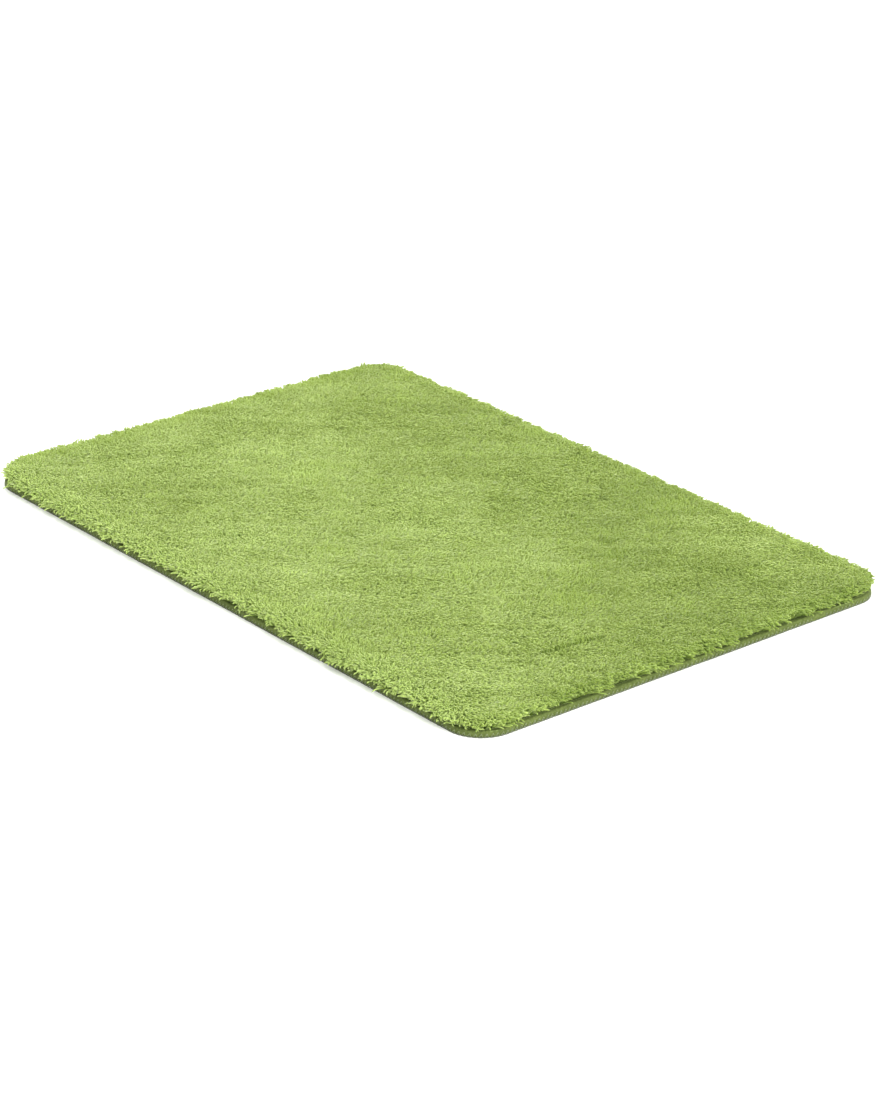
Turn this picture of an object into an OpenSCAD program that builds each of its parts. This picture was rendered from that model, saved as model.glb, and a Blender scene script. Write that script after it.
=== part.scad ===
// Bath mat with a deep cut pile, a cushioned non-slip base and a folded edge tape.
// Millimetres, +Z up, long side along X, resting on z = 0, origin at the middle of its underside.

/* [Mat] */
// Overall length, along X
mat_l = 900; // [500:10:1400]
// Overall width, along Y
mat_w = 600; // [400:10:1000]
// Radius of the four corners, seen from above
corner_r = 41; // [25:1:90]

/* [Base layers] */
// Thickness of the anti-slip backing where the edge tape lies under it
backing_rim_t = 0.9; // [0.5:0.1:3]
// Thickness of the cushion layer
cushion_t = 3.6; // [1:0.1:8]
// Thickness of the latex coat that locks the yarn into the cloth
precoat_t = 0.8; // [0.4:0.1:2]
// Thickness of the woven cloth that the yarn is tufted through
cloth_t = 0.6; // [0.3:0.1:1.2]

/* [Pile] */
// Height of the cut pile above the edge tape
pile_h = 13.3; // [12:0.1:40]
// How far the pile's side stands in from the mat's outline
pile_inset = 1.5; // [0.5:0.1:5]
// Rounding of the pile's top edge
pile_crown_r = 6; // [2:0.5:7]
// Rounding of the edge under the pile's overhang
pile_lip_r = 1.5; // [0.5:0.1:2.5]
// Gap between the pile's overhang and the trim on the edge tape
pile_gap = 0.3; // [0.2:0.1:1.5]

/* [Edge tape] */
// Thickness of the tape
tape_t = 0.7; // [0.3:0.1:1.2]
// Width of the fold that lies on top of the cloth
upper_fold_w = 7; // [5:0.5:12]
// Width of the fold that lies under the backing
lower_fold_w = 12; // [8:0.5:18]
// Gap between the tape's folds and the pile or the backing beside them
fold_gap = 0.3; // [0.1:0.1:1]
// Length of the lap where the tape's two ends meet
lap_l = 16; // [8:1:40]
// Thickness that the lap adds
lap_t = 0.35; // [0.2:0.05:0.8]
// Distance from the lap's middle to the start of the nearer corner
lap_from_corner = 64; // [25:1:90]

/* [Thread] */
// Thickness of the sewing thread
thread_t = 0.35; // [0.2:0.05:0.6]
// Width of a seam line
seam_w = 0.9; // [0.4:0.1:1.5]
// Distance of the seam line from the tape's outer face
seam_inset = 4.5; // [4:0.1:5]
// Height of the overlock stitches up the tape's side
overlock_h = 4.2; // [1:0.1:6]
// How far the overlock stitches reach under the tape
overlock_under_w = 2.5; // [1:0.1:3]
// Gap between the threads under the tape and the floor
thread_lift = 0.1; // [0.05:0.05:0.5]

/* [Hidden] */

// Steps in a quarter circle of an edge section
ARC_STEPS = 6;
// Flat stretch of the pile's section inside its rounded top edge
pile_core_margin = 1;

// Heights of the layers, from the floor up
tape_z = thread_lift + thread_t;
rim_z = tape_z + tape_t;
backing_z = rim_z + backing_rim_t;
cushion_z = backing_z + cushion_t;
precoat_z = cushion_z + precoat_t;
cloth_z = precoat_z + cloth_t;
tape_top_z = cloth_z + tape_t;

// The lap and the overlock stitches stand out from the tape and set the mat's outline
trim_t = max(thread_t, lap_t);
tape_inset = trim_t;
layer_inset = tape_inset + tape_t;
pile_under_z = tape_top_z + trim_t + pile_gap;
pile_top_z = tape_top_z + pile_h;
pile_foot_inset = tape_inset + upper_fold_w + fold_gap;
pile_core_inset = max(pile_foot_inset, pile_inset + max(pile_crown_r, pile_lip_r) + pile_core_margin);
backing_field_inset = tape_inset + lower_fold_w + fold_gap;

$fn = 96;

// Points of a quarter circle of radius r round c, starting at angle a
function quarter(c, r, a) = [
    for (i = [0:ARC_STEPS])
        c + r * [cos(a + 90 * i / ARC_STEPS), sin(a + 90 * i / ARC_STEPS)]
];

// Outline of the mat, moved inwards by inset
module outline(inset) {
    l = mat_l - 2 * inset;
    w = mat_w - 2 * inset;
    r = corner_r - inset;
    square([l, w - 2 * r], center = true);
    square([l - 2 * r, w], center = true);
    for (x = [-1, 1], y = [-1, 1])
        translate([x * (l / 2 - r), y * (w / 2 - r)])
            circle(r);
}

// Flat layer between two heights
module layer(inset, z0, z1) {
    translate([0, 0, z0])
        linear_extrude(z1 - z0)
            outline(inset);
}

// Straight run of an edge section along Y: x is 0 at the outline and negative inwards, y is height
module edge_run(side_l, reach) {
    translate([reach, 0, 0])
        rotate([90, 0, 0])
            linear_extrude(side_l, center = true)
                children();
}

// The section in the children, carried all the way round the mat
module edge_ring() {
    for (turn = [0, 180])
        rotate([0, 0, turn]) {
            edge_run(mat_w - 2 * corner_r, mat_l / 2)
                children();
            rotate([0, 0, 90])
                edge_run(mat_l - 2 * corner_r, mat_w / 2)
                    children();
        }
    for (m = [0, 1], k = [0, 1])
        mirror([m, 0, 0])
            mirror([0, k, 0])
                translate([mat_l / 2 - corner_r, mat_w / 2 - corner_r, 0])
                    rotate_extrude(angle = 90)
                        translate([corner_r, 0])
                            children();
}

// Rectangle of an edge section, between two insets and two heights
module strip(inset0, inset1, z0, z1) {
    translate([-inset1, z0])
        square([inset1 - inset0, z1 - z0]);
}

// Rubbery sheet underneath: its field touches the floor, its rim lies on the tape's lower fold
module anti_slip_backing() {
    color([0.86, 0.87, 0.84]) {
        layer(backing_field_inset, 0, backing_z);
        layer(layer_inset, rim_z, backing_z);
    }
}

// Padding between the backing and the tufted cloth
module cushion_layer() {
    color([0.80, 0.82, 0.72])
        layer(layer_inset, backing_z, cushion_z);
}

// Latex coat on the back of the tufted cloth
module latex_precoat() {
    color([0.88, 0.87, 0.78])
        layer(layer_inset, cushion_z, precoat_z);
}

// Woven cloth that carries the yarn
module tufting_cloth() {
    color([0.36, 0.50, 0.16])
        layer(layer_inset, precoat_z, cloth_z);
}

// Section of the pile's side, from its overhang up and over its crown
module pile_side_section() {
    x = -pile_inset;
    lip = [x - pile_lip_r, pile_under_z + pile_lip_r];
    crown = [x - pile_crown_r, pile_top_z - pile_crown_r];
    polygon(concat(
        [[-pile_core_inset, pile_under_z]],
        quarter(lip, pile_lip_r, -90),
        quarter(crown, pile_crown_r, 0),
        [[-pile_core_inset, pile_top_z]]
    ));
}

// Space that the cut yarn fills, standing on the cloth and leaning out over the tape
module pile() {
    color([0.66, 0.78, 0.35]) {
        layer(pile_foot_inset, cloth_z, pile_under_z);
        layer(pile_core_inset, pile_under_z, pile_top_z);
        edge_ring()
            pile_side_section();
    }
}

// Section of the tape, folded round the edge of the layers
module tape_section() {
    x = -tape_inset;
    polygon(concat(
        [[x - lower_fold_w, tape_z]],
        quarter([x - tape_t, tape_z + tape_t], tape_t, -90),
        quarter([x - tape_t, tape_top_z - tape_t], tape_t, 0),
        [[x - upper_fold_w, tape_top_z], [x - upper_fold_w, cloth_z],
         [x - tape_t, cloth_z], [x - tape_t, rim_z], [x - lower_fold_w, rim_z]]
    ));
}

// Second thickness of tape where its ends lap, above the overlock stitches
module tape_lap() {
    outer_x = mat_l / 2 - tape_inset;
    side_z = tape_z + overlock_h;
    top_w = seam_inset - seam_w;
    translate([outer_x, mat_w / 2 - corner_r - lap_from_corner - lap_l / 2, 0]) {
        translate([-tape_t / 2, 0, side_z])
            cube([tape_t / 2 + lap_t, lap_l, tape_top_z + lap_t - side_z]);
        translate([-top_w, 0, tape_top_z - tape_t / 2])
            cube([top_w, lap_l, tape_t / 2 + lap_t]);
    }
}

// Tape that binds the edge, with the lap where its ends meet
module edge_tape() {
    color([0.55, 0.65, 0.30]) {
        edge_ring()
            tape_section();
        tape_lap();
    }
}

// Seam on the upper fold, hidden under the pile's overhang
module top_seam_thread() {
    seam_x = tape_inset + seam_inset;
    color([0.62, 0.72, 0.34])
        edge_ring()
            strip(seam_x - seam_w / 2, seam_x + seam_w / 2, tape_top_z, tape_top_z + thread_t);
}

// The same seam's lower thread, under the lower fold
module under_seam_thread() {
    seam_x = tape_inset + seam_inset;
    color([0.62, 0.72, 0.34])
        edge_ring()
            strip(seam_x - seam_w / 2, seam_x + seam_w / 2, thread_lift, tape_z);
}

// Stitches over the tape's lower outer edge
module overlock_thread() {
    side = tape_inset - thread_t;
    color([0.70, 0.78, 0.48])
        edge_ring() {
            strip(side, tape_inset, tape_z, tape_z + overlock_h);
            strip(side, tape_inset + overlock_under_w, thread_lift, tape_z);
        }
}

anti_slip_backing();
cushion_layer();
latex_precoat();
tufting_cloth();
pile();
edge_tape();
top_seam_thread();
under_seam_thread();
overlock_thread();
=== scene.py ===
"""Bath mat: cut pile, bound edge, stitches, backing and inner layers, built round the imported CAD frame.

Lengths are in metres, unless the comment beside them says otherwise.
"""

import math

import bpy
import numpy as np
from mathutils import Matrix, Vector


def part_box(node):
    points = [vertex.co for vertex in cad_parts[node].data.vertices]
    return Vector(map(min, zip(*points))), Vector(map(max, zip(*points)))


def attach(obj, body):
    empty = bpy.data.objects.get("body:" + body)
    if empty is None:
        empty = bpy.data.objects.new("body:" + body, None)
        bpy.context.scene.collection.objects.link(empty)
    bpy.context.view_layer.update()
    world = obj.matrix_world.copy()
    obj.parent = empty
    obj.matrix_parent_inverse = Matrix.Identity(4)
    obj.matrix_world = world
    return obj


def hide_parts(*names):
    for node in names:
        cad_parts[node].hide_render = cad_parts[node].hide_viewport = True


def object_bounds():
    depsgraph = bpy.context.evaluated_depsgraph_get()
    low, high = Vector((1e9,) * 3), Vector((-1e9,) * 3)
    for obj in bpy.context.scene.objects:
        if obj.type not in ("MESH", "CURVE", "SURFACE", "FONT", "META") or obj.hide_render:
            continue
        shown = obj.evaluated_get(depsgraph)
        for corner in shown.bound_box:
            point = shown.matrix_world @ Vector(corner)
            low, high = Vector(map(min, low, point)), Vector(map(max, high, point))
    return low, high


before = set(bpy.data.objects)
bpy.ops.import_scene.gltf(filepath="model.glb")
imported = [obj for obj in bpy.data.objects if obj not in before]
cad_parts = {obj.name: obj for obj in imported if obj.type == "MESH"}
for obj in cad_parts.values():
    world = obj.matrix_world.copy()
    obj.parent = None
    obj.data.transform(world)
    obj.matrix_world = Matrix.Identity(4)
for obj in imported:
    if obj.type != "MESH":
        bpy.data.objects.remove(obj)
CAD_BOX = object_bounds()
MM = 0.001
CM = 0.01
BODY = "root"

# ---------------------------------------------------------------- sizes, from the frame
TAPE_LO, TAPE_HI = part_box("edge_tape")
CLOTH_LO, CLOTH_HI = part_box("tufting_cloth")
COAT_LO, COAT_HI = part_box("latex_precoat")
CUSHION_LO, CUSHION_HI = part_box("cushion_layer")
BACKING_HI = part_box("anti_slip_backing")[1]
SEAM_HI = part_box("top_seam_thread")[1]
OVERLOCK_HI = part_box("overlock_thread")[1]

HALF_L, HALF_W = CAD_BOX[1].x, CAD_BOX[1].y
CORNER_R = 41 * MM
TAPE_OUT = HALF_W - TAPE_HI.y
TAPE_T = TAPE_HI.y - CLOTH_HI.y
CLOTH_Z = CLOTH_HI.z
TAPE_TOP = CLOTH_Z + TAPE_T
PERIMETER = 4 * (HALF_L + HALF_W - 2 * CORNER_R) + 2 * math.pi * CORNER_R


# ---------------------------------------------------------------- camera
# fitted to the mat's outline in the photograph: the point looked at in millimetres, and angles in degrees
CAMERA_TARGET = (43.9, -10.3, 0.0)
CAMERA_DISTANCE = 3.779
CAMERA_AZIMUTH, CAMERA_ELEVATION, CAMERA_ROLL = 50.1, 23.35, 0.63
LENS_MM, SENSOR_MM = 107.8, 36.0
FARTHEST_SEEN = 60.0


def make_camera():
    """Narrow view from above the mat's right-hand front corner."""
    target = Vector(CAMERA_TARGET) * MM
    azimuth, elevation = math.radians(CAMERA_AZIMUTH), math.radians(CAMERA_ELEVATION)
    roll = math.radians(CAMERA_ROLL)
    back = Vector((
        math.sin(azimuth) * math.cos(elevation),
        -math.cos(azimuth) * math.cos(elevation),
        math.sin(elevation),
    ))
    right = Vector((math.cos(azimuth), math.sin(azimuth), 0.0))
    up = back.cross(right)
    tilted_right = math.cos(roll) * right + math.sin(roll) * up
    tilted_up = back.cross(tilted_right)
    data = bpy.data.cameras.new("camera")
    data.lens = LENS_MM
    data.sensor_width = SENSOR_MM
    data.clip_end = FARTHEST_SEEN
    camera = bpy.data.objects.new("camera", data)
    turn = Matrix((tilted_right, tilted_up, back)).transposed()
    camera.matrix_world = Matrix.Translation(target + back * CAMERA_DISTANCE) @ turn.to_4x4()
    bpy.context.scene.collection.objects.link(camera)
    bpy.context.scene.camera = camera


make_camera()


# ---------------------------------------------------------------- noise and mesh helpers
def smooth_noise(x, y, cell, seed):
    """Smooth random values from -1 to 1 over the plane, with bumps about one cell across."""
    rng = np.random.default_rng(seed)
    size = 256
    grid = rng.uniform(-1, 1, (size, size))
    u, v = x / cell + size / 2, y / cell + size / 2
    i, j = np.floor(u).astype(int), np.floor(v).astype(int)
    fu, fv = u - i, v - j
    su, sv = fu * fu * (3 - 2 * fu), fv * fv * (3 - 2 * fv)
    i, j, i1, j1 = i % size, j % size, (i + 1) % size, (j + 1) % size
    low = grid[i, j] * (1 - su) + grid[i1, j] * su
    high = grid[i, j1] * (1 - su) + grid[i1, j1] * su
    return low * (1 - sv) + high * sv


def mesh_from(name, points, quads, tris=None, smooth=True):
    """A mesh from arrays of points and of quad and triangle corners."""
    mesh = bpy.data.meshes.new(name)
    tris = np.zeros((0, 3), int) if tris is None else tris
    mesh.vertices.add(len(points))
    mesh.vertices.foreach_set("co", np.asarray(points, np.float32).ravel())
    corners = np.concatenate([quads.ravel(), tris.ravel()]).astype(np.int32)
    mesh.loops.add(len(corners))
    mesh.loops.foreach_set("vertex_index", corners)
    sizes = np.concatenate([np.full(len(quads), 4), np.full(len(tris), 3)]).astype(np.int32)
    starts = np.concatenate([[0], np.cumsum(sizes)[:-1]]).astype(np.int32)
    mesh.polygons.add(len(sizes))
    mesh.polygons.foreach_set("loop_start", starts)
    mesh.polygons.foreach_set("loop_total", sizes)
    mesh.polygons.foreach_set("use_smooth", np.full(len(sizes), smooth))
    mesh.update(calc_edges=True)
    return mesh


def new_piece(name, mesh, material):
    """Put a mesh in the scene as a piece that rides on the mat's body."""
    mesh.materials.append(material)
    piece = bpy.data.objects.new(name, mesh)
    bpy.context.scene.collection.objects.link(piece)
    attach(piece, BODY)
    return piece


def edge_distance(x, y):
    """How far inside the mat's outline each point lies, and the outward direction of the nearest edge."""
    cx, cy = HALF_L - CORNER_R, HALF_W - CORNER_R
    dx, dy = np.abs(x) - cx, np.abs(y) - cy
    out_x, out_y = np.maximum(dx, 0), np.maximum(dy, 0)
    away = np.hypot(out_x, out_y)
    inside = CORNER_R - away - np.minimum(np.maximum(dx, dy), 0)
    corner = (dx > 0) & (dy > 0)
    nx = np.where(corner, out_x / np.maximum(away, 1e-9), (dx > dy) * 1.0)
    ny = np.where(corner, out_y / np.maximum(away, 1e-9), (dx <= dy) * 1.0)
    return inside, nx * np.sign(x), ny * np.sign(y)


def edge_walk(along, inset=0.0):
    """Points at these distances round the outline moved in by inset, and the outward directions there.
    It starts at the middle of the +X side and runs anticlockwise, measured on the outline itself."""
    core_x, core_y = HALF_L - CORNER_R, HALF_W - CORNER_R
    arc = math.pi / 2 * CORNER_R
    lengths = np.array([core_y, arc, 2 * core_x, arc, 2 * core_y, arc, 2 * core_x, arc, core_y])
    ends = np.cumsum(lengths)
    s = np.mod(along, ends[-1])
    leg = np.minimum(np.searchsorted(ends, s, side="right"), 8)
    into = s - (ends - lengths)[leg]
    turning = leg % 2 == 1
    angle = math.pi / 2 * (leg // 2) + np.where(turning, into / CORNER_R, 0)
    nx, ny = np.cos(angle), np.sin(angle)
    side = leg // 2 % 4
    # the middle of each corner's arc, and for a straight leg the corner that it comes from
    from_x = np.array([core_x, core_x, -core_x, -core_x])[side]
    from_y = np.array([-core_y, core_y, core_y, -core_y])[side]
    mid_x = np.array([core_x, -core_x, -core_x, core_x])[side]
    mid_y = np.array([core_y, core_y, -core_y, -core_y])[side]
    run = into + np.where(leg == 0, core_y, 0)
    reach = CORNER_R - inset
    x = np.where(turning, mid_x, from_x - ny * run) + reach * nx
    y = np.where(turning, mid_y, from_y + nx * run) + reach * ny
    return x, y, nx, ny


def tubes(lines, radii, sides, turn=None):
    """Points of tubes along lines, an array of tubes, steps and XYZ; radii has a value for each step."""
    ahead = np.gradient(lines, axis=1)
    ahead /= np.maximum(np.linalg.norm(ahead, axis=2, keepdims=True), 1e-12)
    pole = np.where(np.abs(ahead[:, :1, 1:2]) > 0.9, np.array([1.0, 0, 0]), np.array([0, 1.0, 0]))
    side = np.cross(ahead, pole)
    side /= np.maximum(np.linalg.norm(side, axis=2, keepdims=True), 1e-12)
    other = np.cross(ahead, side)
    turn = np.zeros(len(lines)) if turn is None else turn
    angle = turn[:, None] + np.arange(sides)[None] * 2 * math.pi / sides
    ring = (
        np.cos(angle)[:, None, :, None] * side[:, :, None]
        + np.sin(angle)[:, None, :, None] * other[:, :, None]
    )
    return lines[:, :, None] + ring * radii[:, :, None, None]


def tube_faces(count, steps, sides, each):
    """Quads of count tubes, each with its points in steps of sides, each points apart."""
    base = (np.arange(count) * each)[:, None, None]
    k = np.arange(steps - 1)[None, :, None] * sides
    s = np.arange(sides)[None, None, :]
    s1 = (s + 1) % sides
    quads = np.stack([base + k + s, base + k + sides + s, base + k + sides + s1, base + k + s1], axis=-1)
    return quads.reshape(-1, 4)


def fan_faces(ring_start, apex, sides, flip=False):
    """Triangles from a ring of points to an apex, for arrays of rings and apexes."""
    s = np.arange(sides)[None]
    a, b = ring_start[:, None] + s, ring_start[:, None] + (s + 1) % sides
    c = np.broadcast_to(apex[:, None], a.shape)
    return np.stack([b, a, c] if flip else [a, c, b], axis=-1).reshape(-1, 3)


# ---------------------------------------------------------------- materials
# threads in a metre of each weave
TAPE_THREADS = 1300
CLOTH_THREADS = 900


def shader(name, colour=(0.8, 0.8, 0.8), roughness=0.8, sheen=0.0):
    """A matt material, its node tree and its surface node."""
    material = bpy.data.materials.new(name)
    material.use_nodes = True
    tree = material.node_tree
    bsdf = tree.nodes["Principled BSDF"]
    bsdf.inputs["Base Color"].default_value = (*colour, 1)
    bsdf.inputs["Roughness"].default_value = roughness
    bsdf.inputs["Sheen Weight"].default_value = sheen
    bsdf.inputs["Specular IOR Level"].default_value = 0.2
    return material, tree, bsdf


def ramp(tree, source, *stops):
    """A colour ramp fed by source, with stops as position and colour pairs."""
    node = tree.nodes.new("ShaderNodeValToRGB")
    elements = node.color_ramp.elements
    elements[0].position, elements[0].color = stops[0][0], (*stops[0][1], 1)
    elements[1].position, elements[1].color = stops[-1][0], (*stops[-1][1], 1)
    for position, colour in stops[1:-1]:
        elements.new(position).color = (*colour, 1)
    tree.links.new(source, node.inputs["Fac"])
    return node.outputs["Color"]


def painted(tree, bsdf, colour):
    """Use a colour from the tree as the surface's own."""
    tree.links.new(colour, bsdf.inputs["Base Color"])


def multiplied(tree, a, b):
    """The product of two colours."""
    mix = tree.nodes.new("ShaderNodeMix")
    mix.data_type = "RGBA"
    mix.blend_type = "MULTIPLY"
    mix.inputs["Factor"].default_value = 1.0
    tree.links.new(a, mix.inputs["A"])
    tree.links.new(b, mix.inputs["B"])
    return mix.outputs["Result"]


def noise(tree, scale, detail=2.0):
    """Noise over the piece's own coordinates, with this many bumps in a metre."""
    node = tree.nodes.new("ShaderNodeTexNoise")
    node.inputs["Scale"].default_value = scale
    node.inputs["Detail"].default_value = detail
    where = tree.nodes.new("ShaderNodeTexCoord").outputs["Object"]
    tree.links.new(where, node.inputs["Vector"])
    return node.outputs["Fac"]


def bumped(tree, bsdf, height, distance, strength=0.6):
    """Raise the surface's shading by a height from the tree."""
    bump = tree.nodes.new("ShaderNodeBump")
    bump.inputs["Strength"].default_value = strength
    bump.inputs["Distance"].default_value = distance
    tree.links.new(height, bump.inputs["Height"])
    tree.links.new(bump.outputs["Normal"], bsdf.inputs["Normal"])


def maths(tree, operation, *values):
    """One step of arithmetic on numbers and on values from the tree."""
    node = tree.nodes.new("ShaderNodeMath")
    node.operation = operation
    for socket, value in zip(node.inputs, values):
        if isinstance(value, (int, float)):
            socket.default_value = value
        else:
            tree.links.new(value, socket)
    return node.outputs["Value"]


def weave_height(tree, across, along, threads):
    """Height of a plain weave over two flat coordinates, with this many threads in a metre."""
    a = maths(tree, "MULTIPLY", across, threads * math.pi)
    b = maths(tree, "MULTIPLY", along, threads * math.pi)
    product = maths(tree, "MULTIPLY", maths(tree, "SINE", a), maths(tree, "SINE", b))
    return maths(tree, "ABSOLUTE", product)


def yarn_material():
    """Soft cut yarn: deeper green at the root, which is painted shade deep in the pile, and pale lime at
    the tip, in areas of painted light and shade.
    """
    material, tree, bsdf = shader("pile_yarn", roughness=0.95, sheen=0.12)
    bsdf.inputs["Sheen Roughness"].default_value = 0.6
    bsdf.inputs["Sheen Tint"].default_value = (0.9, 1.0, 0.6, 1)
    bsdf.inputs["Subsurface Weight"].default_value = 0.4
    bsdf.inputs["Subsurface Radius"].default_value = (1.0, 1.0, 0.6)
    bsdf.inputs["Subsurface Scale"].default_value = 1.5 * MM
    yarn = tree.nodes.new("ShaderNodeAttribute")
    yarn.attribute_name = "yarn"
    parts = tree.nodes.new("ShaderNodeSeparateColor")
    tree.links.new(yarn.outputs["Color"], parts.inputs["Color"])
    # darker towards the root: painted shade deep in the pile, where the yarns crowd
    rise = ramp(
        tree,
        parts.outputs["Green"],
        (0.1, (0.215, 0.313, 0.048)),
        (0.6, (0.290, 0.398, 0.083)),
        (1.0, (0.316, 0.420, 0.100)),
    )
    # lighter and darker by the tone: painted light and shade on the pile, and random tone
    tone = ramp(
        tree,
        parts.outputs["Red"],
        (0.0, (0.47, 0.53, 0.30)),
        (0.45, (0.75, 0.775, 0.61)),
        (1.0, (1.10, 1.085, 1.25)),
    )
    painted(tree, bsdf, multiplied(tree, rise, tone))
    return material


def tape_material():
    """Fine woven tape: the weave follows the tape's own length and width."""
    material, tree, bsdf = shader("edge_tape", roughness=0.85)
    place = tree.nodes.new("ShaderNodeUVMap")
    place.uv_map = "tape"
    split = tree.nodes.new("ShaderNodeSeparateXYZ")
    tree.links.new(place.outputs["UV"], split.inputs["Vector"])
    weave = weave_height(tree, split.outputs["X"], split.outputs["Y"], TAPE_THREADS)
    patches, fluff = noise(tree, 60, 3), noise(tree, 420, 2)
    base = ramp(tree, patches, (0.3, (0.078, 0.106, 0.025)), (0.7, (0.112, 0.148, 0.036)))
    fuzz = ramp(tree, fluff, (0.35, (0.78, 0.78, 0.72)), (0.65, (1.22, 1.20, 1.25)))
    # darker in the weave's hollows: painted shade between the threads
    shade = ramp(tree, weave, (0.0, (0.72, 0.72, 0.72)), (0.6, (1.0, 1.0, 1.0)))
    painted(tree, bsdf, multiplied(tree, multiplied(tree, base, fuzz), shade))
    bumped(tree, bsdf, weave, 0.15 * MM)
    return material


def thread_material(name, low, high):
    """Twisted sewing thread."""
    material, tree, bsdf = shader(name, roughness=0.7)
    painted(tree, bsdf, ramp(tree, noise(tree, 900, 1), (0.35, low), (0.65, high)))
    return material


# ---------------------------------------------------------------- pile
YARN_STEP = 1.68 * MM
YARN_R = 0.54 * MM
YARN_LONG = 14.7 * MM
YARN_SIDES = 3
PILE_STRIPS = 32
# where along a yarn its points lie, and how wide it is there
YARN_AT = np.array([0.0, 0.5, 0.74, 0.9, 1.0])
YARN_WIDTH = np.array([0.8, 1.05, 1.1, 1.0, 0.0])
# where a yarn's sides lie across its cell of the map
CELL_ACROSS = np.array([0.15, 0.5, 0.85])
# the outermost root's distance from the outline, and from there inward the width of the fan of outer yarns
# and of the closer rows
ROOT_INSET = 7.6 * MM
FAN_WIDTH = 13.0 * MM
RIM_ROWS = 15.0 * MM
# how far the outer yarns tip outward, in degrees from upright: everywhere, and more at the front and right
DROOP, FRONT_DROOP, RIGHT_DROOP = 26, 30, 11
DROOP_LEAST, DROOP_MOST = 10, 82
# how deep a yarn's root is set in the cloth, and how low its bend and its tip may come above the floor
ROOT_DEEP, BEND_LEAST, TIP_LEAST = 0.3 * MM, 6.5 * MM, 2.6 * MM
# the least rise of a yarn, however far it leans
RISE_LEAST = 9 * MM
# broad patches of painted light and shade where the brushed pile catches more or less light: X, Y and
# breadth in centimetres, and how much lighter
PAINTED_BRUSH_SHADE = (
    (11, 22, 8, -0.26), (2, 11, 5, -0.12), (17, 13, 5, -0.06), (32, 15, 7, -0.14), (39, 6, 6, -0.20),
    (28, 0, 5, -0.26), (-30, 22, 8, -0.22), (-22, -20, 6, -0.28), (16, 3, 5, 0.26), (-12, -22, 8, 0.12),
    (6, -21, 6, 0.12), (38, -25, 7, 0.22), (28, 27, 7, 0.42), (2, -2, 9, 0.18), (-28, -10, 7, 0.14),
    (-15, 2, 8, -0.12), (-4, 6, 4, 0.20), (44, -10, 5, -0.22), (-16, 20, 9, -0.10),
)
# the direction in which the pile is brushed
BRUSH_X, BRUSH_Y = math.cos(0.87), math.sin(0.87)
# creases where the yarns part: the two ends in millimetres
PARTINGS = ((352, -129, 364, -54), (88, 138, 104, 147), (8, 161, 26, 168), (163, 117, 180, 124))


def yarn_roots():
    """Jittered rows of roots all over the cloth inside the edge tape."""
    rng = np.random.default_rng(11)
    xs = np.arange(-HALF_L, HALF_L, YARN_STEP)
    ys = np.arange(-HALF_W, HALF_W, YARN_STEP)
    x, y = [a.ravel() for a in np.meshgrid(xs, ys)]
    # the outer rows are tufted two and three times as close, so that they still cover where they fan out
    extra = np.repeat([0, 1, 2], len(x))
    reach = np.array([1.0, RIM_ROWS, 0.5 * RIM_ROWS])[extra]
    x, y = np.tile(x, 3), np.tile(y, 3)
    x = x + (rng.uniform(-0.45, 0.45, len(x)) + extra / 3) * YARN_STEP
    y = y + (rng.uniform(-0.45, 0.45, len(y)) + extra / 3) * YARN_STEP
    inside, nx, ny = edge_distance(x, y)
    keep = (inside > ROOT_INSET) & (inside < ROOT_INSET + reach)
    return x[keep], y[keep], inside[keep] - ROOT_INSET, nx[keep], ny[keep]


def parted(x, y):
    """How close each root is to a parting, from 0 to 1, and the way that its yarn is pushed from it."""
    near, push_x, push_y = np.zeros(len(x)), np.zeros(len(x)), np.zeros(len(x))
    for x0, y0, x1, y1 in PARTINGS:
        ax, ay, bx, by = x0 * MM, y0 * MM, x1 * MM, y1 * MM
        long = math.hypot(bx - ax, by - ay)
        ux, uy = (bx - ax) / long, (by - ay) / long
        along = np.clip((x - ax) * ux + (y - ay) * uy, 0, long)
        wave = 1.6 * MM * smooth_noise(along, along * 0, 0.018, 17)
        across = -(x - ax) * uy + (y - ay) * ux - wave
        past = np.hypot(x - ax - along * ux, y - ay - along * uy)
        close = np.exp(-((past / (4 * MM)) ** 2))
        near = np.maximum(near, close)
        push_x = push_x - uy * np.sign(across) * close
        push_y = push_y + ux * np.sign(across) * close
    return near, push_x, push_y


def streak(x, y, long, wide, seed):
    """Noise drawn out along the direction in which the pile is brushed."""
    along, across = BRUSH_X * x + BRUSH_Y * y, BRUSH_X * y - BRUSH_Y * x
    return smooth_noise(along * wide / long, across, wide, seed)


def leaning(x, y):
    """How the pile is brushed: the sideways lean of its tips in millimetres, the same for neighbours."""
    way = 0.9 + 0.5 * smooth_noise(x, y, 0.13, 21) + 0.6 * smooth_noise(x, y, 0.035, 22)
    far = 5.6 + 1.5 * smooth_noise(x, y, 0.05, 23)
    way = way + 0.5 * streak(x, y, 0.05, 0.010, 27)
    lx = far * np.cos(way) + 1.5 * smooth_noise(x, y, 0.010, 25)
    ly = far * np.sin(way) + 1.5 * smooth_noise(x, y, 0.010, 26)
    near, push_x, push_y = parted(x, y)
    lx, ly = lx * (1 - near) + 4.5 * push_x, ly * (1 - near) + 4.5 * push_y
    # near the edge nothing leans inward, so that the fan of the outer yarns leaves no valley behind it
    inside, nx, ny = edge_distance(x, y)
    inward = np.minimum(lx * nx + ly * ny, 0) * np.clip(1.5 - inside / (30 * MM), 0, 1)
    return lx - inward * nx, ly - inward * ny


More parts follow.
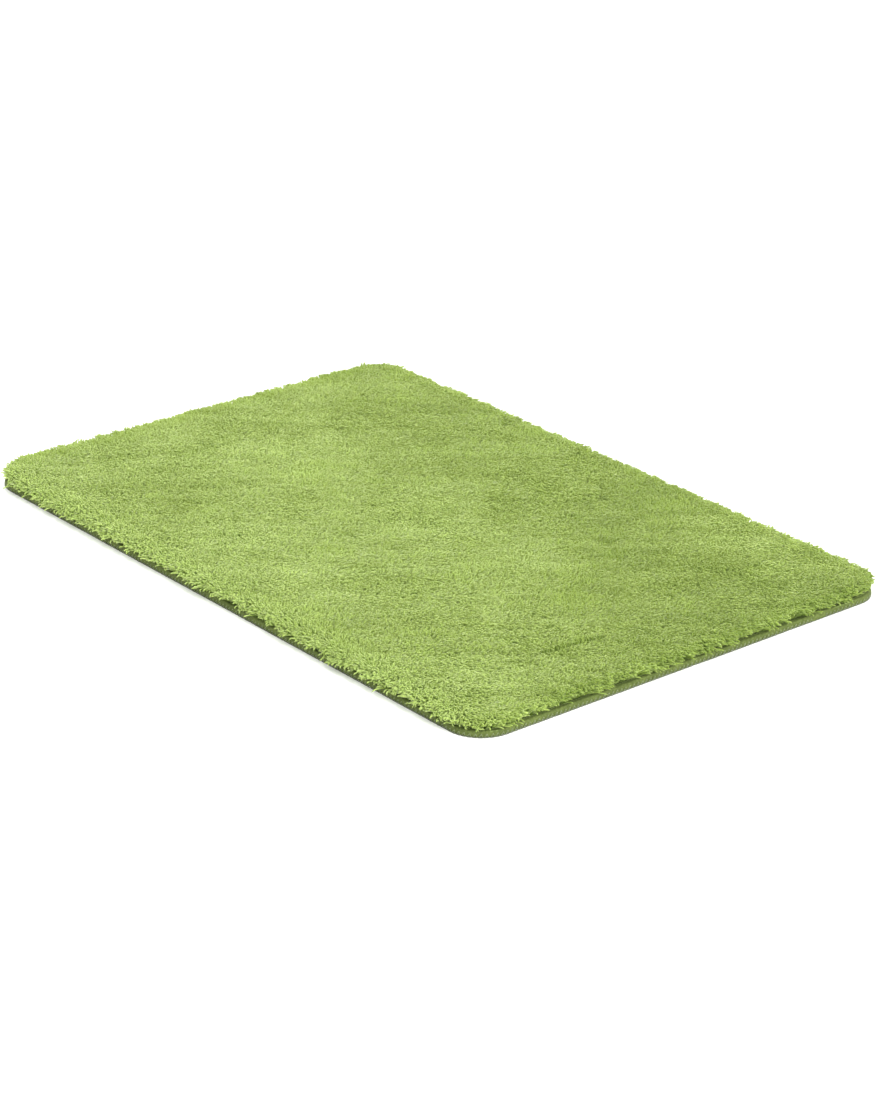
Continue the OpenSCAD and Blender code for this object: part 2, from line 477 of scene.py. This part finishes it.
def edge_fan(x, y, inside, nx, ny, rng):
    """How far each outer yarn tips outward, in radians from upright, and how near the edge it is."""
    rim = np.clip(1 - inside / FAN_WIDTH, 0, 1)
    # the two sides towards the camera hang further than the two behind
    front = np.clip(-ny - 0.6 * np.clip(-nx, 0, 1), 0, 1)
    right = np.clip(nx - 0.6 * np.clip(ny, 0, 1), 0, 1)
    droop = DROOP + np.maximum(FRONT_DROOP * front**1.6, RIGHT_DROOP * right)
    # the left-hand corner hangs less, and at the back and at both side corners the yarns are more even
    droop = droop * (1 - 0.8 * np.clip(nx * ny, 0, 0.5) * (nx < 0))
    loose = np.clip(np.maximum(nx, -ny), 0.3, 0.95) * (1 - 1.4 * np.clip(nx * ny, 0, 0.5))
    droop = droop + loose * (7 * smooth_noise(x, y, 0.07, 41) + 9 * smooth_noise(x, y, 0.022, 42))
    droop = droop + loose * 22 * smooth_noise(x, y, 0.007, 43) + rng.normal(0, 10, len(x)) * loose
    return np.radians(np.clip(droop, DROOP_LEAST, DROOP_MOST)) * rim**1.2, rim


def curve(root, low, high, tip):
    """Points at YARN_AT along each yarn's cubic curve."""
    t = YARN_AT[None, :, None]
    line = (1 - t) ** 3 * root[:, None] + 3 * (1 - t) ** 2 * t * low[:, None]
    return line + 3 * (1 - t) * t**2 * high[:, None] + t**3 * tip[:, None]


def curve_points(x, y, nx, ny, side_x, side_y, up, fan, bow):
    """The four points that shape each yarn's curve, turned outward about its root by the fan."""
    out_low, out_high, out_tip = [np.sin(fan * k) for k in (0.75, 0.9, 1.0)]
    up_low, up_high, up_tip = [np.cos(fan * k) for k in (0.75, 0.9, 1.0)]
    root = np.stack([x, y, np.full(len(x), CLOTH_Z - ROOT_DEEP)], axis=1)
    low = root + np.stack([
        0.05 * side_x + nx * out_low * 0.42 * up,
        0.05 * side_y + ny * out_low * 0.42 * up,
        0.42 * up * up_low,
    ], axis=1)
    high = root + np.stack([
        0.3 * side_x + bow[:, 0] + nx * out_high * up,
        0.3 * side_y + bow[:, 1] + ny * out_high * up,
        1.08 * up * up_high,
    ], axis=1)
    tip = root + np.stack([
        side_x * 1.15 + nx * out_tip * up,
        side_y * 1.15 + ny * out_tip * up,
        0.90 * up * up_tip,
    ], axis=1)
    return root, low, high, tip


def yarn_lines(x, y, inside, nx, ny):
    """Centre lines of all the yarns: upright roots, upper halves that bend over, and a fan at the edge."""
    rng = np.random.default_rng(31)
    count = len(x)
    lx, ly = leaning(x, y)
    curl = rng.normal(0, 2.0, (2, count))
    long = YARN_LONG * (1 + 0.04 * smooth_noise(x, y, 0.05, 51) + 0.05 * smooth_noise(x, y, 0.012, 52))
    long = long * (1 + rng.normal(0, 0.04, count)) * (1 - 0.10 * parted(x, y)[0])
    fan, rim = edge_fan(x, y, inside, nx, ny, rng)
    behind = rim * np.clip(np.maximum(-nx, ny), 0, 1)
    long = long * (1 + rim * (0.10 + 0.13 * smooth_noise(x, y, 0.005, 46)) + 0.07 * behind)
    # a few stand out above the others
    long = long + np.where(rng.random(count) < 0.03, 1.8 * MM, 0) * (1 - 0.8 * rim)
    # at the edge the yarns keep less of their common lean, and gather in tufts
    kept, curled = 1 - 0.6 * rim, 1 + 0.2 * rim * (1 - behind)
    tuft = rim * (1.5 + 2.0 * np.clip(np.maximum(1.3 * nx, -ny), 0, 1.3))
    clump_x, clump_y = tuft * smooth_noise(x, y, 0.006, 44), tuft * smooth_noise(x, y, 0.006, 45)
    side_x = (lx * kept + curl[0] * curled + clump_x) * MM
    side_y = (ly * kept + curl[1] * curled + clump_y) * MM
    up = np.sqrt(np.maximum(long**2 - side_x**2 - side_y**2, RISE_LEAST**2))
    bow = rng.normal(0, 1.1, (count, 2)) * MM * (1 + rim)[:, None]
    root, low, high, tip = curve_points(x, y, nx, ny, side_x, side_y, up, fan, bow)
    high[:, 2] = np.maximum(high[:, 2], BEND_LEAST)
    tip = tip + rng.normal(0, 1.3, (count, 3)) * MM * (rim * (1 - 0.7 * behind))[:, None]
    tip[:, 2] = np.maximum(tip[:, 2], TIP_LEAST)
    return curve(root, low, high, tip)


def yarn_tone(x, y):
    """Lightness from 0 to 1: broad patches of painted light and shade on the brushed pile, softer random
    ones inside them, each yarn's own random tone, painted shade towards +X and +Y and in the partings, and
    painted light and shade on the lip.
    """
    rng = np.random.default_rng(61)
    tone = 0.62 + 0.06 * smooth_noise(x, y, 0.10, 62) + 0.08 * smooth_noise(x, y, 0.035, 63)
    # painted shade: the pile darker towards +X and towards +Y
    tone = tone - 0.18 * x / HALF_L - 0.12 * y / HALF_W
    for cx, cy, breadth, lighter in PAINTED_BRUSH_SHADE:
        away = np.hypot(x - cx * CM, y - cy * CM) / (breadth * CM)
        tone = tone + lighter * np.exp(-away * away)
    tone = tone + 0.12 * streak(x, y, 0.10, 0.016, 66) + 0.08 * streak(x, y, 0.05, 0.007, 64)
    tone = tone - 0.5 * np.clip(streak(x, y, 0.016, 0.005, 65) - 0.55, 0, 0.35)
    # painted shade in the creases where the yarns part
    tone = tone - 0.30 * parted(x, y)[0]
    inside, nx, ny = edge_distance(x, y)
    rim = np.clip(1.4 - inside / (24 * MM), 0, 1)
    # painted light and shade on the lip: lighter along the front and darker along the other sides
    front, right = 0.28 * np.clip(-ny, 0, 1), 0.28 * np.clip(nx, 0, 1)
    left, rear = 0.26 * np.clip(-nx, 0, 1), 0.14 * np.clip(ny, 0, 1)
    tone = tone + rim * (front - right - left - rear)
    # painted light and shade of the tufts along the lip, strongest on the right
    tufts = 0.10 + 0.22 * np.clip(nx, 0, 1)
    tone = tone + rim * tufts * smooth_noise(x, y, 0.0045, 67)
    return np.clip(tone + rng.normal(0, 0.06, len(x)), 0, 1)


def yarn_mesh(name, lines, width, tone, seed):
    """One mesh of many yarns, with the values that the material reads and a map cell for each yarn."""
    rng = np.random.default_rng(seed)
    count, steps = len(lines), len(YARN_AT) - 1
    turn = rng.uniform(0, 2 * math.pi, count)
    rings = tubes(lines, width[:, None] * YARN_WIDTH[None], YARN_SIDES, turn)[:, :steps]
    each = steps * YARN_SIDES + 1
    points = np.concatenate([rings.reshape(count, -1, 3), lines[:, -1:]], axis=1).reshape(-1, 3)
    quads = tube_faces(count, steps, YARN_SIDES, each)
    start = np.arange(count) * each
    tris = fan_faces(start + (steps - 1) * YARN_SIDES, start + each - 1, YARN_SIDES)
    mesh = mesh_from(name, points, quads, tris)
    rise = np.concatenate([np.repeat(YARN_AT[:-1], YARN_SIDES), [1.0]])
    colour = np.ones((count, each, 4), np.float32)
    colour[:, :, 0] = tone[:, None]
    colour[:, :, 1] = rise[None]
    layer = mesh.color_attributes.new("yarn", "FLOAT_COLOR", "POINT")
    layer.data.foreach_set("color", colour.ravel())
    cells = math.ceil(math.sqrt(count))
    across = np.concatenate([np.tile(CELL_ACROSS, steps), [0.5]])
    cell_u, cell_v = np.arange(count) % cells, np.arange(count) // cells
    u = (cell_u[:, None] + across[None]) / cells
    v = (cell_v[:, None] + 0.1 + 0.8 * rise[None]) / cells
    place = np.stack([u, v], axis=2).reshape(-1, 2)
    set_map(mesh, "OFBake", place)
    return mesh


def set_map(mesh, name, place):
    """A UV map from one place for each point."""
    corner = np.zeros(len(mesh.loops), np.int32)
    mesh.loops.foreach_get("vertex_index", corner)
    layer = mesh.uv_layers.new(name=name)
    layer.data.foreach_set("uv", place[corner].astype(np.float32).ravel())


def make_pile():
    """All the yarns, in strips along X that each stay inside the export's limit on triangles."""
    rng = np.random.default_rng(71)
    x, y, inside, nx, ny = yarn_roots()
    lines = yarn_lines(x, y, inside, nx, ny)
    tone = yarn_tone(x, y)
    rim = np.clip(1 - inside / FAN_WIDTH, 0, 1)
    width = YARN_R * rng.uniform(0.8, 1.25, len(x)) * (1 + 0.25 * rim)
    material = yarn_material()
    edges = np.linspace(-HALF_W, HALF_W, PILE_STRIPS + 1)
    pieces = []
    for k in range(PILE_STRIPS):
        mine = (y >= edges[k]) & (y < edges[k + 1])
        name = f"pile_strip_{k + 1:02d}"
        mesh = yarn_mesh(name, lines[mine], width[mine], tone[mine], 100 + k)
        pieces.append(new_piece(name, mesh, material))
    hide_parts("pile")
    return pieces


pile_pieces = make_pile()


# ---------------------------------------------------------------- edge tape
# how far the folds reach in from the tape's face, and the radii of its upper and lower bends
UPPER_FOLD = 7 * MM
LOWER_FOLD = 12 * MM
UPPER_BEND, LOWER_BEND = 1.9 * MM, 1.3 * MM
# where along the outline the tape's ends lap, how long the lap is, how fast it rises and how high,
# and how far under the mat its upper end is kept from its lower one
LAP_AT = 195 * MM
LAP_LONG = 16 * MM
LAP_RISE = 8 * MM
LAP_LIFT = 1.0 * MM
LAP_UNDER = 0.3 * MM
TAPE_STEP = 1.0 * MM
PUCKER = 0.26 * MM
# the stitches' pitch and the threads' radii
WRAP_STEP = 6.0 * MM
SEAM_STEP = 3.4 * MM
THREAD_R = 0.24 * MM
WRAP_R = 0.44 * MM


def tape_profile():
    """Middle line of the tape's section: each point's distance out from the tape's face, and its height.

    It runs from the upper fold's edge down the face and under to the lower fold's edge.
    """
    half = TAPE_T / 2
    top, bottom = TAPE_TOP - half, TAPE_LO.z + half
    big, small = UPPER_BEND, LOWER_BEND
    points = [(-UPPER_FOLD, top), (-UPPER_FOLD * 0.6, top), (-big - half, top)]
    for a in np.radians([70, 45, 20]):
        points.append((-half - big + big * math.cos(a), top - big + big * math.sin(a)))
    points += [(-half, top - big), (-half + 0.15 * MM, (top + bottom) / 2), (-half, bottom + small)]
    for a in np.radians([-20, -45, -70]):
        points.append((-half - small + small * math.cos(a), bottom + small + small * math.sin(a)))
    points += [(-half - small, bottom), (-LOWER_FOLD * 0.5, bottom), (-LOWER_FOLD, bottom)]
    return np.array(points)


def tape_sway(s):
    """How far the sewn edge wanders out and in, the same for the tape and for the thread on it."""
    return MM * (0.18 * smooth_noise(s, s * 0, 0.045, 81) + 0.12 * smooth_noise(s, s * 0, 0.015, 82))


def tape_section():
    """The tape's section as a closed loop of points, the outward direction at each, and how far across the
    strip its middle line's points lie."""
    centre = tape_profile()
    way = np.gradient(centre, axis=0)
    way /= np.linalg.norm(way, axis=1, keepdims=True)
    normal = np.stack([-way[:, 1], way[:, 0]], axis=1)
    half = TAPE_T / 2
    loop = np.concatenate([centre + normal * half, (centre - normal * half)[::-1]])
    outer = np.concatenate([normal, normal[::-1]])
    travel = np.concatenate([[0], np.cumsum(np.linalg.norm(np.diff(centre, axis=0), axis=1))])
    return loop, outer, travel


def tape_points(s, loop, outer):
    """The loop's points at each distance s along the tape, swayed, puckered and lifted where it laps."""
    walk = s + LAP_AT - LAP_LONG / 2
    x, y, nx, ny = edge_walk(walk)
    lap = np.clip((s - PERIMETER + LAP_RISE) / LAP_RISE, 0, 1)
    lift = LAP_LIFT * lap * lap * (3 - 2 * lap)
    sway = tape_sway(np.mod(walk, PERIMETER))
    slow, quick = smooth_noise(walk, s * 0, 0.060, 83), smooth_noise(walk, s * 0, 0.015, 84)
    heave = MM * (0.22 * slow + 0.10 * quick)
    high = np.clip((loop[:, 1] - TAPE_LO.z) / (TAPE_TOP - TAPE_LO.z), 0, 1)
    wall = np.clip(1 + loop[:, 0] / (3 * MM), 0, 1)
    # each wrap of thread pulls the tape in, and the pucker slants as it climbs the face
    turn = walk[:, None] / WRAP_STEP - 0.35 * high[None]
    pucker = PUCKER * (np.abs(np.sin(math.pi * turn)) - 0.65) * wall[None] * (1.15 - high)[None]
    out = loop[None, :, 0] - TAPE_OUT + outer[None, :, 0] * lift[:, None] + wall[None] * sway[:, None]
    out = out + pucker
    # under the mat the lap's end stands up a little from the other one
    raised = lift[:, None] * high[None] + LAP_UNDER * lap[:, None] * (1 - high[None])
    up = loop[None, :, 1] + outer[None, :, 1] * raised + high[None] * heave[:, None]
    return np.stack([x[:, None] + nx[:, None] * out, y[:, None] + ny[:, None] * out, up], axis=2)


def make_tape():
    """The tape as one folded strip whose end laps over its start, and the strip's flat width."""
    loop, outer, travel = tape_section()
    across = np.concatenate([travel, travel[::-1]])
    steps = int((PERIMETER + LAP_LONG) / TAPE_STEP)
    s = np.linspace(0, PERIMETER + LAP_LONG, steps)
    points = tape_points(s, loop, outer)
    ring = len(loop)
    quads = tube_faces(1, steps, ring, 0)
    i = np.arange(ring // 2 - 1)
    cap = np.stack([i, i + 1, ring - 2 - i, ring - 1 - i], axis=1)
    faces = np.concatenate([quads[:, ::-1], cap, cap[:, ::-1] + (steps - 1) * ring])
    mesh = mesh_from("edge_tape_folded", points.reshape(-1, 3), faces)
    set_map(mesh, "tape", np.stack([np.repeat(s, ring), np.tile(across, steps)], axis=1))
    tape = new_piece("edge_tape_folded", mesh, tape_material())
    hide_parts("edge_tape")
    return tape, travel[-1]


# ---------------------------------------------------------------- stitches
THREAD_SIDES = 6


def thread_piece(name, lines, radius, material, node):
    """Many short threads as one piece, with closed ends."""
    count, steps, sides = len(lines), lines.shape[1], THREAD_SIDES
    rings = tubes(lines, np.full((count, steps), radius), sides)
    points = np.concatenate([rings.reshape(count, -1, 3), lines[:, :1], lines[:, -1:]], axis=1)
    each = steps * sides + 2
    start = np.arange(count) * each
    tris = np.concatenate([
        fan_faces(start, start + each - 2, sides, flip=True),
        fan_faces(start + (steps - 1) * sides, start + each - 1, sides),
    ])
    quads = tube_faces(count, steps, sides, each)
    piece = new_piece(name, mesh_from(name, points.reshape(-1, 3), quads, tris), material)
    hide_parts(node)
    return piece


def edge_lines(places, shape, sways=1.0):
    """A thread's line at each place along the edge.

    Each point of the shape is a shift along, a distance in from the outline and a height, in millimetres.
    """
    shape = np.array(shape) * MM
    s = (places[:, None] + shape[None, :, 0]).ravel()
    x, y, nx, ny = edge_walk(s)
    inset = np.tile(shape[:, 1], len(places)) - sways * tape_sway(np.mod(s, PERIMETER))
    z = np.tile(shape[:, 2], len(places))
    points = np.stack([x - nx * inset, y - ny * inset, z], axis=1)
    return points.reshape(len(places), len(shape), 3)


def stitch_places(pitch, seed):
    """Nearly even places round the outline."""
    rng = np.random.default_rng(seed)
    count = round(PERIMETER / pitch)
    return (np.arange(count) + rng.uniform(-0.05, 0.05, count)) * PERIMETER / count


def overlock_paths():
    """One stitch of the overlock: up the tape's face, down it again, and along the edge by the floor."""
    top = OVERLOCK_HI.z / MM
    climb = [
        (-2.6, 2.7, 0.50), (-2.3, 1.3, 0.48), (-2.0, 0.45, 0.64), (-1.6, 0.10, 1.20),
        (-0.6, -0.08, 0.46 * top), (0.6, -0.06, 0.76 * top), (1.4, 0.18, top),
    ]
    fall = [
        (1.4, 0.18, top), (1.9, -0.06, 0.76 * top), (2.2, -0.05, 0.46 * top), (2.5, 0.10, 1.15),
        (2.8, 0.45, 0.60),
    ]
    purl = [
        (-2.2, 0.35, 0.66), (-1.4, 0.08, 0.58), (-0.2, 0.0, 0.55), (1.2, 0.0, 0.55),
        (2.4, 0.08, 0.58), (3.0, 0.35, 0.66),
    ]
    return climb, fall, purl


def seam_paths():
    """One stitch of the seam through the folds: over the upper fold, and below the lower one."""
    inset = (HALF_W - SEAM_HI.y) / MM + 0.45
    top, under = TAPE_TOP / MM, TAPE_LO.z / MM
    shifts = (0, 0.35, 1.4, 2.4, 2.75)
    above = [top - 0.2, top + 0.16, top + 0.2, top + 0.16, top - 0.2]
    below = [under + 0.15, 0.31, 0.27, 0.31, under + 0.15]
    return [[(shift, inset, z) for shift, z in zip(shifts, heights)] for heights in (above, below)]


def make_stitches():
    """The overlock's three sets of threads and the seam's two."""
    pale = thread_material("overlock_thread", (0.135, 0.168, 0.074), (0.205, 0.240, 0.120))
    green = thread_material("sewing_thread", (0.16, 0.22, 0.065), (0.22, 0.29, 0.10))
    # the purl's looper thread is a real thread, made dark grey as painted shadow where the tape's foot
    # meets the floor
    grey = thread_material("looper_thread_painted_shadow", (0.060, 0.070, 0.042), (0.110, 0.125, 0.075))
    wraps, seams = stitch_places(WRAP_STEP, 91), stitch_places(SEAM_STEP, 92)
    climb, fall, purl = overlock_paths()
    sewn = []
    for name, shape, thickness, look in (
        ("climb", climb, 1.0, pale), ("fall", fall, 0.8, pale), ("purl", purl, 1.15, grey),
    ):
        lines, radius = edge_lines(wraps, shape), WRAP_R * thickness
        piece = thread_piece(f"overlock_{name}", lines, radius, look, "overlock_thread")
        sewn.append(piece)
    for side, shape in zip(("top", "under"), seam_paths()):
        lines, node = edge_lines(seams, shape, 0), f"{side}_seam_thread"
        sewn.append(thread_piece(f"{side}_seam_stitches", lines, THREAD_R, green, node))
    return sewn


tape, tape_width = make_tape()
stitches = make_stitches()


# ---------------------------------------------------------------- layers under the pile
LAYER_STEP = 6.0 * MM
# how far in from the outline the layers' sections end, before the flat middle
SECTION_END = 40 * MM
STUD_STEP = 10.5 * MM
STUD_R = 2.3 * MM
STUD_SIDES = 8
# how far in from the outline the backing's thin rim ends, and how far inside it the studs keep
RIM_W = 13.2 * MM
STUD_MARGIN = 2.5 * MM
# the heights of the backing's underside and of the studs' shoulders, and how deep the studs are set in
BACKING_UNDER = 0.75 * MM
STUD_SHOULDER = 0.15 * MM
STUD_ROOT = 0.1 * MM


def layer_mesh(section):
    """A sheet with the mat's rounded outline, as points, quads and triangles.

    Each point of the section is a distance in from the outline and a height. They run from the middle of
    the top out round the edge and back to the middle of the underside.
    """
    around = int(PERIMETER / LAYER_STEP)
    s = np.arange(around) * PERIMETER / around
    rings = []
    for inset, z in section:
        x, y, nx, ny = edge_walk(s, inset)
        rings.append(np.stack([x, y, np.full(around, z)], axis=1))
    points = np.concatenate(rings + [np.array([[0, 0, section[0][1]], [0, 0, section[-1][1]]])])
    quads = tube_faces(1, len(section), around, 0)
    last = len(section) * around
    top = fan_faces(np.array([0]), np.array([last]), around, flip=True)
    bottom = fan_faces(np.array([last - around]), np.array([last + 1]), around)
    return points, quads, np.concatenate([top, bottom])


def soft_section(inset, top, bottom, round_off):
    """The section of a plain layer with softened edges."""
    near, far = inset + 0.4 * round_off, inset + 2 * round_off
    return [
        (SECTION_END, top), (far, top), (near, top - 0.3 * round_off), (inset, top - round_off),
        (inset, bottom + round_off), (near, bottom + 0.3 * round_off), (far, bottom), (SECTION_END, bottom),
    ]


def stud_parts():
    """Points, quads and triangles of the backing's moulded studs, in staggered rows."""
    xs = np.arange(-HALF_L, HALF_L, STUD_STEP)
    ys = np.arange(-HALF_W, HALF_W, STUD_STEP * 0.866)
    x, y = np.meshgrid(xs, ys)
    x = x + (np.arange(len(ys)) % 2)[:, None] * STUD_STEP / 2
    keep = edge_distance(x, y)[0] > RIM_W + STUD_R + STUD_MARGIN
    x, y = x[keep], y[keep]
    count, sides = len(x), STUD_SIDES
    angle = np.arange(sides) * 2 * math.pi / sides
    rings = []
    for reach, z in ((1.0, BACKING_UNDER + STUD_ROOT), (0.8, STUD_SHOULDER)):
        ring_x, ring_y = STUD_R * reach * np.cos(angle), STUD_R * reach * np.sin(angle)
        height = np.full((count, sides), z)
        rings.append(np.stack([x[:, None] + ring_x, y[:, None] + ring_y, height], axis=2))
    tip = np.stack([x, y, np.zeros(count)], axis=1)
    root = np.stack([x, y, np.full(count, BACKING_UNDER + STUD_ROOT)], axis=1)
    shells = np.stack(rings, 1).reshape(count, -1, 3)
    points = np.concatenate([shells, tip[:, None], root[:, None]], axis=1).reshape(-1, 3)
    each = 2 * sides + 2
    start = np.arange(count) * each
    tris = np.concatenate([
        fan_faces(start + sides, start + each - 2, sides, flip=True),
        fan_faces(start, start + each - 1, sides),
    ])
    return points, tube_faces(count, 2, sides, each)[:, ::-1], tris


def backing_parts():
    """The backing: a thin rim over the tape's lower fold, then a thicker middle with studs."""
    inset = HALF_W - BACKING_HI.y
    top, rim = BACKING_HI.z, TAPE_LO.z + TAPE_T
    section = [
        (SECTION_END, top), (inset + 0.4 * MM, top), (inset, top - 0.25 * MM), (inset, rim + 0.2 * MM),
        (inset + 0.3 * MM, rim), (RIM_W, rim), (RIM_W + 0.8 * MM, BACKING_UNDER),
        (SECTION_END, BACKING_UNDER),
    ]
    points, quads, tris = layer_mesh(section)
    studs, stud_quads, stud_tris = stud_parts()
    return (
        np.concatenate([points, studs]),
        np.concatenate([quads, stud_quads + len(points)]),
        np.concatenate([tris, stud_tris + len(points)]),
    )


def backing_material():
    """Matt latex with a fine crinkle."""
    material, tree, bsdf = shader("backing_rubber", roughness=0.62)
    crinkle = noise(tree, 420, 4)
    shades = noise(tree, 35, 3)
    painted(tree, bsdf, ramp(tree, shades, (0.35, (0.50, 0.52, 0.44)), (0.65, (0.58, 0.60, 0.52))))
    bumped(tree, bsdf, crinkle, 0.12 * MM)
    return material


def felt_material():
    """Needled felt: matted fibres with small dents from the needles."""
    material, tree, bsdf = shader("cushion_felt", roughness=0.95, sheen=0.2)
    fibres = noise(tree, 1300, 6)
    painted(tree, bsdf, ramp(tree, fibres, (0.3, (0.50, 0.50, 0.48)), (0.7, (0.72, 0.72, 0.70))))
    bumped(tree, bsdf, fibres, 0.3 * MM)
    return material


def coat_material():
    """Spread latex: nearly even, with soft runs."""
    material, tree, bsdf = shader("latex_coat", roughness=0.45)
    runs = noise(tree, 180, 3)
    painted(tree, bsdf, ramp(tree, runs, (0.3, (0.66, 0.64, 0.55)), (0.7, (0.74, 0.72, 0.63))))
    bumped(tree, bsdf, runs, 0.1 * MM)
    return material


def cloth_material():
    """Plain woven cloth."""
    material, tree, bsdf = shader("woven_cloth", roughness=0.7)
    split = tree.nodes.new("ShaderNodeSeparateXYZ")
    tree.links.new(tree.nodes.new("ShaderNodeTexCoord").outputs["Object"], split.inputs["Vector"])
    weave = weave_height(tree, split.outputs["X"], split.outputs["Y"], CLOTH_THREADS)
    # darker in the weave's hollows: painted shade between the threads
    painted(tree, bsdf, ramp(tree, weave, (0.0, (0.16, 0.22, 0.06)), (0.6, (0.30, 0.40, 0.13))))
    bumped(tree, bsdf, weave, 0.2 * MM)
    return material


def make_layers():
    """The backing, the felt, the latex coat and the cloth, from the floor up."""
    mesh = mesh_from("anti_slip_backing_studded", *backing_parts())
    backing = new_piece("anti_slip_backing_studded", mesh, backing_material())
    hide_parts("anti_slip_backing")
    inset = HALF_W - CLOTH_HI.y
    felt, latex, weave = felt_material(), coat_material(), cloth_material()
    made = [backing]
    for name, node, low, high, round_off, material, slot in (
        ("cushion_felt_pad", "cushion_layer", CUSHION_LO, CUSHION_HI, 0.9 * MM, felt, "cushion_felt"),
        ("latex_precoat_film", "latex_precoat", COAT_LO, COAT_HI, 0.25 * MM, latex, "latex_coat"),
        ("tufting_cloth_woven", "tufting_cloth", CLOTH_LO, CLOTH_HI, 0.2 * MM, weave, "woven_cloth"),
    ):
        section = soft_section(inset, high.z, low.z, round_off)
        layer = new_piece(name, mesh_from(name, *layer_mesh(section)), material)
        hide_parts(node)
        made.append(layer)
    return made


backing, cushion, coat, cloth = make_layers()


# ---------------------------------------------------------------- floor and light
FLOOR_HALF = 20.0
WORLD_STRENGTH = 1.6
# each lamp's place, breadth and power in watts
KEY_LAMP = ((5.2, 0.2, 2.6), 2.6, 312)
TOP_LAMP = ((-0.4, 0.6, 3.2), 2.4, 37)


def area_light(name, place, size, power):
    """A round lamp that faces the middle of the mat."""
    data = bpy.data.lights.new(name, "AREA")
    data.shape = "DISK"
    data.size = size
    data.energy = power
    light = bpy.data.objects.new(name, data)
    light.location = place
    light.rotation_euler = (-Vector(place)).to_track_quat("-Z", "Y").to_euler()
    bpy.context.scene.collection.objects.link(light)


def make_stage():
    """A white floor, a white world and two lamps."""
    material = shader("floor", (0.98, 0.98, 0.98), roughness=0.9)[0]
    size = FLOOR_HALF
    points = np.array([(-size, -size, 0), (size, -size, 0), (size, size, 0), (-size, size, 0)])
    mesh = mesh_from("floor", points, np.array([[0, 1, 2, 3]]), smooth=False)
    mesh.materials.append(material)
    floor = bpy.data.objects.new("floor", mesh)
    bpy.context.scene.collection.objects.link(floor)
    world = bpy.data.worlds.new("studio")
    world.use_nodes = True
    background = world.node_tree.nodes["Background"]
    background.inputs["Color"].default_value = (1, 1, 1, 1)
    background.inputs["Strength"].default_value = WORLD_STRENGTH
    bpy.context.scene.world = world
    area_light("key", *KEY_LAMP)
    area_light("top", *TOP_LAMP)


make_stage()
bpy.context.scene.view_settings.view_transform = "Standard"
